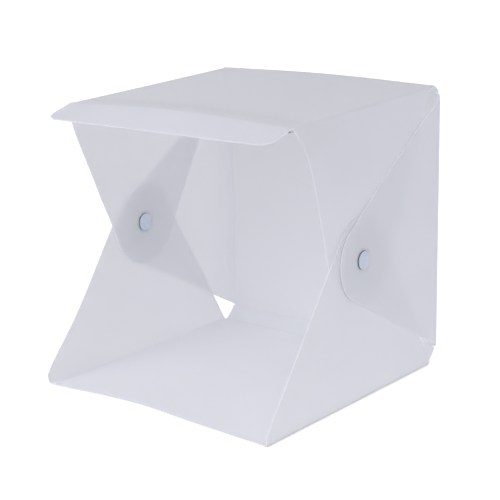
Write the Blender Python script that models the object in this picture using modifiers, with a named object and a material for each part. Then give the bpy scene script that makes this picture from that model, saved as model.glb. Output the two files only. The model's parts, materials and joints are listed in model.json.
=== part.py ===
"""Folding light tent cube.

One die-cut sheet of white translucent plastic makes the whole tent. It is folded into a base,
a back, a top and a short front flap. Three wings on each side lie over one another and close
with a snap through their round lobes. A light bar is taped under the front of the top.

X runs across the tent, Y from its open front to its back, and Z up. The origin is on the table,
under the middle of the tent. All lengths are in metres.
"""

import math

import bmesh
import bpy
from mathutils import Matrix, Vector

# Overall sizes of the folded tent
tent_width = 0.226              # between the middles of the two base wings
tent_depth = 0.243              # front edge of the base to the outside of the back
tent_height = 0.239             # table to the upper face of the top, at its back
top_setback = 0.0385            # front edge of the base to the crease of the flap
top_slope = math.radians(1.8)   # the top leans down towards the front

# The sheet and its bends
sheet_thickness = 0.0008
layer_pitch = 0.0022            # from one wing to the next where they overlap
bottom_bend_radius = 0.0114     # bend between the base and the back
top_bend_radius = 0.0060        # bend between the back and the top
crease_radius = 0.0020          # pressed creases beside the base and the top
back_crease_radius = 0.0070     # wider ones beside the back, whose wings go round the others
flap_bend_radius = 0.0040
corner_notch = 0.0006           # cut between a wing's foot and the next bend
top_corner_notch = 0.0080       # the same behind a top wing, wide enough to pass the back wing
crease_gap = 0.0003             # between two pieces that meet along a crease
touch_gap = 0.0003              # between two pieces that lie on one another

# The round lobes and the snap through them
snap_from_front = 0.124
snap_height = 0.1165
base_lobe_radius = 0.034
back_lobe_radius = 0.034
back_lobe_offset = (0.0043, -0.0013)    # from the snap to the middle of its lobe, back and up
top_lobe_radius = 0.037
front_stand = 0.0070            # how high a base wing's front edge stands before it tapers

# The top wings bulge outward beside the open front, where nothing holds the springy sheet down
flare = 0.0080                  # how far they bulge at most
flare_depth = 0.0300            # from their crease down to where they bulge most
flare_reach = 0.0850            # from a wing's front edge back to where its bulge ends
flare_fade_share = 0.8          # of the base lobe's radius, over which it ends round the snap

# The front flap
flap_length = 0.0300
flap_droop = math.radians(14.7)
flap_corner_radius = 0.011

# Smoothness of curved stretches
arc_step = math.radians(9)
bend_cuts = 4
turn_steps = 32
cell_size = 0.0100              # cells of a wing that bulges
sliver = 0.00003                # cells thinner than this aren't cut
weld_reach = 0.00001            # between two points that are one


def clear_scene():
    """Start from an empty file."""
    for old in list(bpy.data.objects):
        bpy.data.objects.remove(old, do_unlink=True)


def collection(name):
    """A new collection in the scene."""
    group = bpy.data.collections.new(name)
    bpy.context.scene.collection.children.link(group)
    return group


def finish(name, colour, roughness, metallic=0.0):
    """A plain material of one finish."""
    material = bpy.data.materials.new(name)
    material.use_nodes = True
    shader = material.node_tree.nodes["Principled BSDF"]
    shader.inputs["Base Color"].default_value = (*colour, 1.0)
    shader.inputs["Roughness"].default_value = roughness
    shader.inputs["Metallic"].default_value = metallic
    material.diffuse_color = (*colour, 1.0)
    return material


def add_object(name, mesh, material, group=None):
    """Put a mesh in the scene under its part's name."""
    part = bpy.data.objects.new(name, mesh)
    (group or tent).objects.link(part)
    if material:
        part.data.materials.append(material)
    return part


def hang_on(part, carrier):
    """Let a piece follow the piece that carries it, without moving it."""
    bpy.context.view_layer.update()
    part.parent = carrier
    part.matrix_parent_inverse = carrier.matrix_world.inverted()


def cut_with(part, cutter):
    """Cut a piece with a hidden cutter."""
    cut = part.modifiers.new("cut_" + cutter.name, "BOOLEAN")
    cut.operation = "DIFFERENCE"
    cut.solver = "EXACT"
    cut.object = cutter


def arc(centre, radius, start, end):
    """Points of a round stretch from one angle to another, ends included."""
    steps = max(2, math.ceil(abs(end - start) / arc_step))
    angles = [start + (end - start) * step / steps for step in range(steps + 1)]
    return [(centre[0] + radius * math.cos(angle), centre[1] + radius * math.sin(angle))
            for angle in angles]


class Bend:
    """A rolled bend of the sheet, measured on the middle of its thickness."""

    def __init__(self, angle, radius):
        self.angle = angle
        self.radius = radius
        self.setback = radius * math.tan(angle / 2)
        self.half_arc = radius * angle / 2


class Panel:
    """One flat panel of the sheet with its own frame.

    The frame starts at the sharp corner before the panel: x runs across, y along the sheet and
    z to the inside of the tent. Across and along are measured on the flat sheet, before it is
    folded, and agree with x and y up to the bends.
    """

    def __init__(self, corner, turn, run, wing_x, wing_radius, first_bend, last_bend):
        self.corner = corner
        self.turn = turn
        self.run = run
        self.wing_x = wing_x
        self.first_bend = first_bend
        self.last_bend = last_bend
        self.wing_bend = Bend(math.pi / 2, wing_radius)
        self.start = first_bend.setback if first_bend else 0
        self.end = run - last_bend.setback if last_bend else run
        self.side = wing_x - self.wing_bend.setback if wing_x else math.inf

    def matrix(self):
        """From the panel's frame to the tent."""
        return Matrix.Translation(self.corner) @ Matrix.Rotation(self.turn, 4, "X")

    def fold(self, across, along):
        """Where a point of the flat sheet lies once the bends are rolled."""
        sign = math.copysign(1, across)
        over_side = abs(across) - self.side
        roll = self.wing_bend
        if self.last_bend and along > self.end:
            angle = (along - self.end) / self.last_bend.radius
            reach = self.last_bend.radius
            return Vector((across, self.end + reach * math.sin(angle),
                           reach * (1 - math.cos(angle))))
        if self.first_bend and along < self.start:
            angle = (self.start - along) / self.first_bend.radius
            reach = self.first_bend.radius
            return Vector((across, self.start - reach * math.sin(angle),
                           reach * (1 - math.cos(angle))))
        if over_side <= 0:
            return Vector((across, along, 0))
        if over_side < 2 * roll.half_arc:
            angle = over_side / roll.radius
            return Vector((sign * (self.side + roll.radius * math.sin(angle)), along,
                           roll.radius * (1 - math.cos(angle))))
        return Vector((sign * self.wing_x, along, roll.radius + over_side - 2 * roll.half_arc))

    def bend_lines(self):
        """Lines of the flat sheet along which it is cut up for rolling."""
        lines = []
        for cut in range(2 * bend_cuts + 1 if self.wing_x else 0):
            over_side = self.wing_bend.half_arc * cut / bend_cuts
            lines += [("across", self.side + over_side), ("across", -self.side - over_side)]
        for cut in range(bend_cuts):
            if self.first_bend:
                lines.append(("along", self.start - self.first_bend.half_arc * cut / bend_cuts))
            if self.last_bend:
                lines.append(("along", self.end + self.last_bend.half_arc * cut / bend_cuts))
        return lines


def cell_lines(outline, bend_lines):
    """Lines that cut an outline into cells, none of them close beside a bend line or an end."""
    lines = []
    for axis, direction in enumerate(("across", "along")):
        low = min(point[axis] for point in outline)
        high = max(point[axis] for point in outline)
        taken = [place for kind, place in bend_lines if kind == direction] + [low, high]
        for number in range(math.ceil(low / cell_size), math.ceil(high / cell_size)):
            place = number * cell_size
            if min(abs(place - other) for other in taken) > cell_size / 3:
                lines.append((direction, place))
    return lines


def sheet_piece(name, panel, outline, hinge=Vector(), settle=None):
    """Cut a flat outline from the sheet, roll its bends and give it its thickness.

    The piece's origin is a point of its hinge line, in the panel's frame. settle moves a rolled
    point, in the same frame, to where the springy sheet comes to rest.
    """
    mesh = bpy.data.meshes.new(name)
    shape = bmesh.new()
    shape.faces.new([shape.verts.new((across, along, 0)) for across, along in outline])
    lines = panel.bend_lines()
    if settle:
        lines += cell_lines(outline, lines)
    for direction, place in lines:
        normal = Vector((1, 0, 0)) if direction == "across" else Vector((0, 1, 0))
        everything = shape.verts[:] + shape.edges[:] + shape.faces[:]
        bmesh.ops.bisect_plane(shape, geom=everything, dist=sliver,
                               plane_co=normal * place, plane_no=normal)
    for vertex in shape.verts:
        rolled = panel.fold(vertex.co.x, vertex.co.y)
        vertex.co = (settle(rolled) if settle else rolled) - hinge
    shape.to_mesh(mesh)
    shape.free()
    piece = add_object(name, mesh, white_sheet)
    piece.matrix_world = panel.matrix() @ Matrix.Translation(hinge)
    thickness = piece.modifiers.new("sheet_thickness", "SOLIDIFY")
    thickness.thickness = sheet_thickness
    thickness.offset = 0
    thickness.use_even_offset = True
    return piece


def panel_outline(panel, first_notch):
    """A panel with the halves of its bends: two at its sides, and one at each end that is bent."""
    side_edge = panel.side + panel.wing_bend.half_arc - crease_gap / 2
    half = []
    if panel.first_bend:
        edge = panel.start - panel.first_bend.half_arc + crease_gap / 2
        half += [(strip_half_width, edge), (strip_half_width, panel.start),
                 (panel.side, panel.start), (panel.side, panel.start + first_notch),
                 (side_edge, panel.start + first_notch)]
    else:
        half += [(side_edge, panel.start)]
    if panel.last_bend:
        edge = panel.end + panel.last_bend.half_arc - crease_gap / 2
        half += [(side_edge, panel.end - corner_notch), (panel.side, panel.end - corner_notch),
                 (panel.side, panel.end), (strip_half_width, panel.end),
                 (strip_half_width, edge)]
    else:
        half += [(side_edge, panel.end)]
    return half + [(-across, along) for across, along in reversed(half)]


def tangent_angle(foot, centre, radius, sense):
    """Angle on a circle where the straight edge from a foot meets it, on the side of sense."""
    gap_y, gap_z = foot[0] - centre[0], foot[1] - centre[1]
    return math.atan2(gap_z, gap_y) + sense * math.acos(radius / math.hypot(gap_y, gap_z))


def wing_outline(panel, side, feet, first_stand, lobe_middle, lobe_radius):
    """A wing with its half of the side bend, tapering from two feet to a lobe round the snap.

    The feet are places along the panel. The edge over the first foot stands square up to a
    height of first_stand. lobe_middle is a place on the wing, in the panel's frame.
    """
    bend = panel.wing_bend
    inner = panel.side + bend.half_arc + crease_gap / 2
    rise = panel.side + 2 * bend.half_arc - bend.radius
    middle = (lobe_middle.y, rise + lobe_middle.z)
    first = (feet[0], max(inner, rise + first_stand))
    last = (feet[1], inner)
    start = tangent_angle(first, middle, lobe_radius, -1)
    end = tangent_angle(last, middle, lobe_radius, 1)
    while start < end:
        start += 2 * math.pi
    outline = [first] + arc(middle, lobe_radius, start, end) + [last]
    if first_stand:
        outline.insert(0, (feet[0], inner))
    return [(side * across, along) for along, across in outline]


def turned(name, profile, material, centre, outward):
    """A piece turned about the snap's axis, from (radius, height) points, outward along its axis."""
    mesh = bpy.data.meshes.new(name)
    closed = profile[0][0] > 0
    edges = [(index, index + 1) for index in range(len(profile) - 1)]
    if closed:
        edges.append((len(profile) - 1, 0))
    mesh.from_pydata([(radius, 0, height) for radius, height in profile], edges, [])
    piece = add_object(name, mesh, material)
    piece.location = centre
    piece.rotation_euler = (0, outward * math.pi / 2, 0)
    lathe = piece.modifiers.new("lathe", "SCREW")
    lathe.axis = "Z"
    lathe.angle = 2 * math.pi
    lathe.steps = turn_steps
    lathe.render_steps = turn_steps
    lathe.use_merge_vertices = True
    lathe.merge_threshold = weld_reach
    return piece


def block(name, size, material, group=None):
    """A rectangular block with its middle at its origin."""
    mesh = bpy.data.meshes.new(name)
    shape = bmesh.new()
    bmesh.ops.create_cube(shape, size=1)
    bmesh.ops.scale(shape, vec=size, verts=shape.verts)
    shape.to_mesh(mesh)
    shape.free()
    return add_object(name, mesh, material, group)


def rod_cutter(name, radius, length, centre):
    """A round cutter along X."""
    mesh = bpy.data.meshes.new(name)
    shape = bmesh.new()
    bmesh.ops.create_cone(shape, cap_ends=True, segments=turn_steps, radius1=radius,
                          radius2=radius, depth=length)
    shape.to_mesh(mesh)
    shape.free()
    cutter = add_object(name, mesh, None, cutters)
    cutter.location = centre
    cutter.rotation_euler = (0, math.pi / 2, 0)
    cutter.hide_render = True
    cutter.display_type = "WIRE"
    return cutter


clear_scene()
tent = collection("light_tent_cube")
cutters = collection("cutters")

white_sheet = finish("white_sheet", (0.88, 0.89, 0.93), 0.5)
snap_plastic = finish("snap_plastic", (0.80, 0.84, 0.90), 0.3)
board_white = finish("board_white", (0.86, 0.87, 0.86), 0.4)
foam_white = finish("foam_white", (0.82, 0.82, 0.80), 0.9)
lamp_yellow = finish("lamp_yellow", (0.93, 0.78, 0.32), 0.35)
plated_steel = finish("plated_steel", (0.62, 0.63, 0.64), 0.3, 1.0)

# Places of the panels: their sharp corners, on the middle of the sheet
front_y = -tent_depth / 2
back_y = tent_depth / 2 - sheet_thickness / 2
base_z = sheet_thickness / 2
top_z = tent_height - sheet_thickness / 2
base_wing_x = tent_width / 2
back_wing_x = base_wing_x + layer_pitch
top_wing_x = base_wing_x - layer_pitch
strip_half_width = top_wing_x + sheet_thickness / 2     # half the sheet's width in its bends

bottom_bend = Bend(math.pi / 2, bottom_bend_radius)
top_bend = Bend(math.pi / 2 + top_slope, top_bend_radius)
flap_bend = Bend(flap_droop, flap_bend_radius)

base = Panel(Vector((0, front_y, base_z)), 0, back_y - front_y, base_wing_x, crease_radius,
             None, bottom_bend)
back = Panel(Vector((0, back_y, base_z)), math.pi / 2, top_z - base_z, back_wing_x,
             back_crease_radius, bottom_bend, top_bend)
top_run = (back_y - front_y - top_setback) / math.cos(top_slope)
top = Panel(Vector((0, back_y, top_z)), math.pi + top_slope, top_run, top_wing_x, crease_radius,
            top_bend, flap_bend)
flap = Panel(top.matrix() @ Vector((0, top_run, 0)), top.turn + flap_droop, flap_length,
             None, crease_radius, flap_bend, None)

# The four panels of the folded sheet
base_panel = sheet_piece("base_panel", base, panel_outline(base, 0))
back_panel = sheet_piece("back_panel", back, panel_outline(back, corner_notch))
top_panel = sheet_piece("top_panel", top, panel_outline(top, top_corner_notch))

flap_edge = flap.start - flap_bend.half_arc + crease_gap / 2
corner_middle = (strip_half_width - flap_corner_radius, flap_length - flap_corner_radius)
flap_half = [(strip_half_width, flap_edge)] + arc(corner_middle, flap_corner_radius, 0, math.pi / 2)
flap_outline = flap_half + [(-across, along) for across, along in reversed(flap_half)]
# The flap folds both ways, on the inner face of the sheet, where nothing gets pinched
inner_face = sheet_thickness / 2
flap_hinge = Vector((0, inner_face * math.tan(flap_droop / 2), inner_face))
front_flap = sheet_piece("front_flap", flap, flap_outline, flap_hinge)

hang_on(back_panel, base_panel)
hang_on(top_panel, back_panel)
hang_on(front_flap, top_panel)

# The snap: a domed cap on each outer face, a stud on the back wing and a socket on the top wing
cap_radius = 0.0077
cap_thickness = 0.0019
cap_rim_radius = 0.0006
cap_dome_share = 0.35           # of the cap's thickness that its dome rises over the rim
prong_radius = 0.0012
flange_radius = 0.0053
knob_radius = 0.0025
knob_neck_radius = 0.0021
knob_play = 0.0007              # round the knob in the socket
base_hole_radius = 0.0050
engagement_share = 0.6          # of the socket's height that the knob enters
knob_crown_share = 0.5          # of the socket's height that the knob's head takes

layer_gap = layer_pitch - sheet_thickness
ring_height = layer_gap - 2 * touch_gap
cut_overrun = 0.001


def cap_profile(seat, prong_end):
    """A cap whose flat side is at seat and whose prong reaches down to prong_end."""
    rim_top = seat + cap_thickness * (1 - cap_dome_share)
    rim = arc((cap_radius - cap_rim_radius, rim_top - cap_rim_radius), cap_rim_radius,
              math.pi / 2, 0)
    dome_rise = cap_thickness * cap_dome_share
    dome_steps = 4
    dome = []
    for step in range(dome_steps):
        share = step / dome_steps
        dome.append(((cap_radius - cap_rim_radius) * share, rim_top + dome_rise * (1 - share ** 2)))
    return dome + rim + [(cap_radius, seat), (prong_radius, seat), (prong_radius, prong_end),
                         (0, prong_end)]


def add_wing(panel, panel_piece, kind, side, feet, lobe_radius, hole_radius, first_stand=0,
             lobe_offset=(0, 0), settle=None):
    """One wing of the sheet on its hinge line, with its hole for the snap."""
    label = "right" if side > 0 else "left"
    lobe_middle = panel.matrix().inverted() @ (snap_middle + Vector((0, *lobe_offset)))
    outline = wing_outline(panel, side, feet, first_stand, lobe_middle, lobe_radius)
    hinge = Vector((side * panel.wing_x, 0, 0))
    wing = sheet_piece(label + "_" + kind + "_wing", panel, outline, hinge, settle)
    centre = hinge + snap_middle
    cutter = rod_cutter(wing.name + "_hole", hole_radius, sheet_thickness + 2 * cut_overrun, centre)
    cut_with(wing, cutter)
    hang_on(wing, panel_piece)
    hang_on(cutter, wing)
    return wing


snap_middle = Vector((0, front_y + snap_from_front, snap_height))
top_feet = (top.start + top_corner_notch, top.end - corner_notch)
snap_in_top = top.matrix().inverted() @ snap_middle
front_lean = ((snap_in_top.y + top_lobe_radius - top_feet[1])
              / (snap_in_top.z - top.wing_bend.radius))
crease_depth = top.wing_bend.radius * (1 - math.cos(top.wing_bend.angle / 2))


def eased(share):
    """A share held between 0 and 1, with a smooth start and end."""
    share = max(0, min(1, share))
    return share * share * (3 - 2 * share)


def flared(point):
    """Bulge a point of a top wing outward, in the top panel's frame."""
    depth = max(0, point.z - crease_depth) / flare_depth
    front_edge = top_feet[1] + (point.z - top.wing_bend.radius) * front_lean
    near_front = eased(1 - (front_edge - point.y) / flare_reach)
    from_snap = math.hypot(point.y - snap_in_top.y, point.z - snap_in_top.z)
    off_snap = eased((from_snap - base_lobe_radius) / (flare_fade_share * base_lobe_radius))
    bulge = flare * depth * math.exp(1 - depth) * near_front * off_snap
    return point + Vector((math.copysign(bulge, point.x), 0, 0))


for side, label in ((-1, "left"), (1, "right")):
    prong_hole_radius = prong_radius + touch_gap
    add_wing(base, base_panel, "base", side, (base.start, base.end - corner_notch),
             base_lobe_radius, base_hole_radius, front_stand)
    back_wing = add_wing(back, back_panel, "back", side,
                         (back.start + corner_notch, back.end - corner_notch),
                         back_lobe_radius, prong_hole_radius, lobe_offset=back_lobe_offset)
    top_wing = add_wing(top, top_panel, "top", side, top_feet,
                        top_lobe_radius, prong_hole_radius, settle=flared)

    # Heights are counted outward from the middle of the top wing's sheet
    middle = Vector((side * top_wing_x, snap_middle.y, snap_middle.z))
    socket_low = sheet_thickness / 2 + touch_gap
    socket_high = socket_low + ring_height
    knob_tip = socket_high - engagement_share * ring_height
    flange_low = layer_pitch + socket_low
    flange_high = flange_low + ring_height
    cap_seat = 2 * layer_pitch + sheet_thickness / 2 + touch_gap
    bore_floor = knob_tip + touch_gap

    socket_radius = knob_radius + knob_play
    socket = turned(label + "_snap_socket",
                    [(socket_radius, socket_high), (flange_radius, socket_high),
                     (flange_radius, socket_low), (socket_radius, socket_low)],
                    snap_plastic, middle, side)
    crown = knob_tip + knob_crown_share * ring_height
    stud = turned(label + "_snap_stud",
                  [(0, bore_floor), (prong_hole_radius, bore_floor),
                   (prong_hole_radius, flange_high), (flange_radius, flange_high),
                   (flange_radius, flange_low), (knob_neck_radius, flange_low),
                   (knob_radius, crown), (knob_neck_radius, knob_tip), (0, knob_tip)],
                  snap_plastic, middle, side)
    outer_cap = turned(label + "_outer_cap", cap_profile(cap_seat, bore_floor + touch_gap),
                       snap_plastic, middle, side)
    inner_cap = turned(label + "_inner_cap", cap_profile(socket_low, touch_gap - knob_tip),
                       snap_plastic, middle, -side)
    for piece in (stud, outer_cap):
        hang_on(piece, back_wing)
    for piece in (socket, inner_cap):
        hang_on(piece, top_wing)

# The light bar: a row of small lamps on a board, taped under the top behind the flap's crease
bar_from_crease = 0.012         # crease to the near edge of the board
bar_from_wing = 0.0078          # end of the board to the middle of the wing beside it
board_width = 0.010
board_thickness = 0.0012
tape_margin = 0.0030            # from the tape's end to the board's
tape_width = 0.008
tape_thickness = 0.0008
lamp_size = Vector((0.0035, 0.0028, 0.0008))
lamp_bevel = 0.00015
lamp_count = 20
socket_size = Vector((0.0078, 0.0056, 0.0028))
socket_wall = 0.0004
socket_chamfer = 0.0011         # of the two corners away from the board
socket_from_end = 0.0020
socket_to_lamp = 0.0020
tongue_size = Vector((0.0040, 0.0036, 0.0006))

board_length = 2 * (top_wing_x - bar_from_wing)
board_size = Vector((board_length, board_width, board_thickness))
tape_size = Vector((board_length - 2 * tape_margin, tape_width, tape_thickness))
bar_middle = top.end - bar_from_crease - board_size.y / 2
tape_middle = sheet_thickness / 2 + touch_gap + tape_size.z / 2
board_middle = tape_middle + tape_size.z / 2 + touch_gap + board_size.z / 2
board_face = board_middle + board_size.z / 2 + touch_gap


def on_top(piece, x, y, z):
    """Place a piece by the top panel's frame and let it follow the top."""
    piece.matrix_world = top.matrix() @ Matrix.Translation((x, y, z))
    hang_on(piece, top_panel)
    return piece


def chamfered_prism(name, size, chamfer, material, group=None):
    """A prism along Y whose two upper corners are cut off, with its middle at its origin."""
    half_x, half_z = size.x / 2, size.z / 2
    corners = [(-half_x, -half_z), (half_x, -half_z), (half_x, half_z - chamfer),
               (half_x - chamfer, half_z), (chamfer - half_x, half_z), (-half_x, half_z - chamfer)]
    mesh = bpy.data.meshes.new(name)
    shape = bmesh.new()
    face = shape.faces.new([shape.verts.new((x, -size.y / 2, z)) for x, z in corners])
    swept = bmesh.ops.extrude_face_region(shape, geom=[face])["geom"]
    bmesh.ops.translate(shape, vec=(0, size.y, 0),
                        verts=[item for item in swept if isinstance(item, bmesh.types.BMVert)])
    bmesh.ops.recalc_face_normals(shape, faces=shape.faces)
    shape.to_mesh(mesh)
    shape.free()
    return add_object(name, mesh, material, group)


def hidden(cutter):
    """Mark a cutter so that it isn't taken for a piece."""
    cutter.hide_render = True
    cutter.display_type = "WIRE"
    return cutter


on_top(block("light_bar_tape", tape_size, foam_white), 0, bar_middle, tape_middle)
on_top(block("light_bar_board", board_size, board_white), 0, bar_middle, board_middle)

row_half = board_size.x / 2 - socket_from_end - socket_size.x - socket_to_lamp - lamp_size.x / 2
lamp_pitch = 2 * row_half / (lamp_count - 1)
first_lamp = block("lamp_01", lamp_size, lamp_yellow)
for number in range(lamp_count):
    lamp = first_lamp
    if number:
        lamp = add_object("lamp_%02d" % (number + 1), first_lamp.data, None)
    edges = lamp.modifiers.new("moulded_edges", "BEVEL")
    edges.width = lamp_bevel
    edges.segments = 1
    on_top(lamp, lamp_pitch * number - row_half, bar_middle, board_face + lamp_size.z / 2)

socket_x = board_size.x / 2 - socket_from_end - socket_size.x / 2
socket_y = bar_middle + board_size.y / 2 - socket_size.y / 2
socket_z = board_face + socket_size.z / 2
power_socket = chamfered_prism("power_socket", socket_size, socket_chamfer, plated_steel)
room_size = Vector((socket_size.x - 2 * socket_wall, socket_size.y - socket_wall + cut_overrun,
                    socket_size.z - 2 * socket_wall))
room = hidden(chamfered_prism("socket_room", room_size, socket_chamfer - socket_wall / 2,
                              None, cutters))
tongue = hidden(block("socket_tongue", tongue_size + Vector((0, cut_overrun, 0)), None, cutters))
cut_with(room, tongue)
cut_with(power_socket, room)
on_top(power_socket, socket_x, socket_y, socket_z)
room_y = socket_y + (socket_wall + cut_overrun) / 2
on_top(room, socket_x, room_y, socket_z)
tongue_y = socket_y - socket_size.y / 2 + socket_wall + tongue_size.y / 2 - cut_overrun / 2
on_top(tongue, socket_x, tongue_y, socket_z)
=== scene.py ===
"""Looks of the folding light tent cube.

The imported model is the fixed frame. Each section below dresses one piece, or one group of like
pieces, in the order in which the tent is put together. X runs across the tent, Y from its open
front to its back, and Z up. All lengths are in metres.
"""
import json
import math

import bmesh
import bpy
from mathutils import Matrix, Vector
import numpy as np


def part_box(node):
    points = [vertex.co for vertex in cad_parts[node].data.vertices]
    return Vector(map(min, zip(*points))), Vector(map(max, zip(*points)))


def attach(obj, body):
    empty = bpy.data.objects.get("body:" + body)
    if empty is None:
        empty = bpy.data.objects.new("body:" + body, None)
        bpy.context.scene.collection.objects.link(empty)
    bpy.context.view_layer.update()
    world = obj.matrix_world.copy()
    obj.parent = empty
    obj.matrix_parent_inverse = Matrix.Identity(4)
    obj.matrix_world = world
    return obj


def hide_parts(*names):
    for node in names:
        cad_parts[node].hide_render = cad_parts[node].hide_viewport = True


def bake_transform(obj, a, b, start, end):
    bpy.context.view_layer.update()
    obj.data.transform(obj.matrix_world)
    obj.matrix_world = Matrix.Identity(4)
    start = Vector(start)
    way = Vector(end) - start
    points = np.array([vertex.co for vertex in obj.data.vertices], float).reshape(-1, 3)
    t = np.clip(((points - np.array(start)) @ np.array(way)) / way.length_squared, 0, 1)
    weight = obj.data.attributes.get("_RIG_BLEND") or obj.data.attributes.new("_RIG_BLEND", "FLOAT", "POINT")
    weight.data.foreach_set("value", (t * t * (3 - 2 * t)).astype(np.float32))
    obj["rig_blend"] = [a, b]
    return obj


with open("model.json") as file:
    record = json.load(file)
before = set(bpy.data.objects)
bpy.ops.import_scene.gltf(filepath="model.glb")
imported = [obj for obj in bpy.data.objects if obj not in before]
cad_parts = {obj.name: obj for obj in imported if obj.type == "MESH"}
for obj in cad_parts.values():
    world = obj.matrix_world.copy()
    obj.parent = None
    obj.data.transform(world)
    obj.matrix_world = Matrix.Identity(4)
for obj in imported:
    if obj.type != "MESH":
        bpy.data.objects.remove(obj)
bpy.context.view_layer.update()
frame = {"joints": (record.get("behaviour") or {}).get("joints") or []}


# White sheet of the tent
#
# The whole tent is die-cut from one sheet of white translucent polypropylene. Its faces have a
# fine satin grain, its creases are rolled in a press, and its cut edges are bare and paler.

sheet_thickness = 0.0008
edge_band = 0.0015              # strip along a cut edge that is paler
cut_rounding = 0.00015
cut_angle = math.radians(60)    # sharper edges than this are cut ones, and are rounded
smooth_angle = math.radians(35)     # faces that meet at less are shaded as one
grid_pitch = 0.0065             # cells of the sheet's mesh
bend_steps = 12
sliver = 0.00003                # the smallest cell that is kept
bend_flatness = 0.75            # 0 is a round bend, 1 a flat strip between two sharp creases
wide_bend = 0.006               # from this radius on, a bend shows as a band of its own


class Value:
    """One value of a material's nodes, so that shader maths is written as sums and products."""

    def __init__(self, tree, socket=None):
        self.tree = tree
        self.socket = socket

    def node(self, kind, settings=(), inputs=(), output=0):
        """Add a node: its settings first, then the values or links of its sockets."""
        made = self.tree.nodes.new("ShaderNode" + kind)
        for name, setting in dict(settings).items():
            setattr(made, name, setting)
        for name, given in dict(inputs).items():
            if isinstance(given, Value):
                self.tree.links.new(given.socket, made.inputs[name])
            else:
                made.inputs[name].default_value = given
        return Value(self.tree, made.outputs[output] if made.outputs else None)

    def math(self, operation, first, second=0.0):
        """Add a Math node that works on two values."""
        return self.node("Math", {"operation": operation}, {0: first, 1: second})

    def __add__(self, other):
        return self.math("ADD", self, other)

    def __sub__(self, other):
        return self.math("SUBTRACT", self, other)

    def __rsub__(self, other):
        return self.math("SUBTRACT", other, self)

    def __mul__(self, other):
        return self.math("MULTIPLY", self, other)

    __radd__ = __add__
    __rmul__ = __mul__

    def between(self, low, high):
        """0 below low, 1 above high, and a smooth rise from one to the other."""
        return self.node("MapRange", {"interpolation_type": "SMOOTHSTEP"},
                         {"Value": self, "From Min": low, "From Max": high})

    def tint(self, colour, other):
        """The first colour where this value is 0, and the other where it is 1."""
        return self.node("Mix", {"data_type": "RGBA"}, {0: self, 6: colour, 7: other}, 2)


def new_material(name):
    """An empty material and the start of its nodes."""
    material = bpy.data.materials.new(name)
    material.use_nodes = True
    material.node_tree.nodes.clear()
    return material, Value(material.node_tree)


def rgb(red, green, blue):
    """An opaque colour."""
    return (red, green, blue, 1.0)


def grain(start, place, size, detail=2.0, roughness=0.5):
    """Noise whose grains are about size metres across."""
    return start.node("TexNoise", {}, {"Vector": place, "Scale": 1 / size, "Detail": detail,
                                       "Roughness": roughness})


def sheet_material():
    """Satin face of the sheet: part of the light comes back and part goes through."""
    material, start = new_material("translucent_sheet")
    place = start.node("Attribute", {"attribute_name": "flat_place"}, (), "Vector")
    to_edge = start.node("Attribute", {"attribute_name": "to_edge"}, (), "Fac")
    crease = start.node("Attribute", {"attribute_name": "crease"}, (), "Fac")

    satin = grain(start, place, 0.00045, 3.0, 0.6)
    cloud = grain(start, place, 0.028, 2.0, 0.45)
    rubbed = grain(start, place, 0.004, 4.0, 0.6)
    near_edge = 1 - to_edge.between(0.0, edge_band)
    whitened = crease * rubbed.between(0.30, 0.70)

    body = cloud.between(0.3, 0.7).tint(rgb(0.928, 0.941, 0.978), rgb(0.936, 0.948, 0.982))
    body = (satin.between(0.35, 0.65) * 0.5).tint(body, rgb(0.948, 0.957, 0.986))
    body = (whitened * 0.20).tint(body, rgb(0.980, 0.982, 0.995))
    body = (near_edge * 0.2).tint(body, rgb(0.980, 0.980, 0.985))

    coarse = start.node("Bump", {}, {"Strength": 0.25, "Distance": 0.00025, "Height": cloud})
    fine = start.node("Bump", {}, {"Strength": 0.22, "Distance": 0.00004, "Height": satin,
                                   "Normal": coarse})
    roughness = 0.56 + satin * 0.10 - crease * 0.06
    face = start.node("BsdfPrincipled", {}, {
        "Base Color": body, "Roughness": roughness, "Normal": fine,
        "Specular IOR Level": 0.12})
    through = start.node("BsdfTranslucent", {}, {"Color": rgb(0.985, 0.972, 0.948)})
    share = 0.37 + cloud * 0.05 - crease * 0.12 - near_edge * 0.12
    mixed = start.node("MixShader", {}, {0: share, 1: face, 2: through})
    start.node("OutputMaterial", {}, {"Surface": mixed})
    return material


def cut_edge_material():
    """The bare cut, with a painted glow where light run inside the sheet would come out."""
    material, start = new_material("cut_edge")
    place = start.node("Attribute", {"attribute_name": "flat_place"}, (), "Vector")
    saw = grain(start, place, 0.0009, 3.0, 0.6)
    colour = saw.between(0.3, 0.7).tint(rgb(0.945, 0.945, 0.965), rgb(0.980, 0.980, 0.988))
    bump = start.node("Bump", {}, {"Strength": 0.3, "Distance": 0.00005, "Height": saw})
    face = start.node("BsdfPrincipled", {}, {
        "Base Color": colour, "Roughness": 0.5 + saw * 0.15, "Normal": bump,
        # painted glow: a faint bluish light of its own, though the cut is no lamp
        "Specular IOR Level": 0.3, "Emission Color": rgb(0.93, 0.94, 1.0),
        "Emission Strength": 0.10})
    through = start.node("BsdfTranslucent", {}, {"Color": rgb(0.97, 0.97, 0.985)})
    mixed = start.node("MixShader", {}, {0: 0.12, 1: face, 2: through})
    start.node("OutputMaterial", {}, {"Surface": mixed})
    return material


white_sheet = sheet_material()
cut_edge = cut_edge_material()


class Bend:
    """A rolled bend of the sheet, measured on the middle of its thickness."""

    def __init__(self, angle, radius):
        self.angle = angle
        self.radius = radius
        self.setback = radius * math.tan(angle / 2)
        self.length = radius * angle
        self.depth = min(1, radius / wide_bend)


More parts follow.
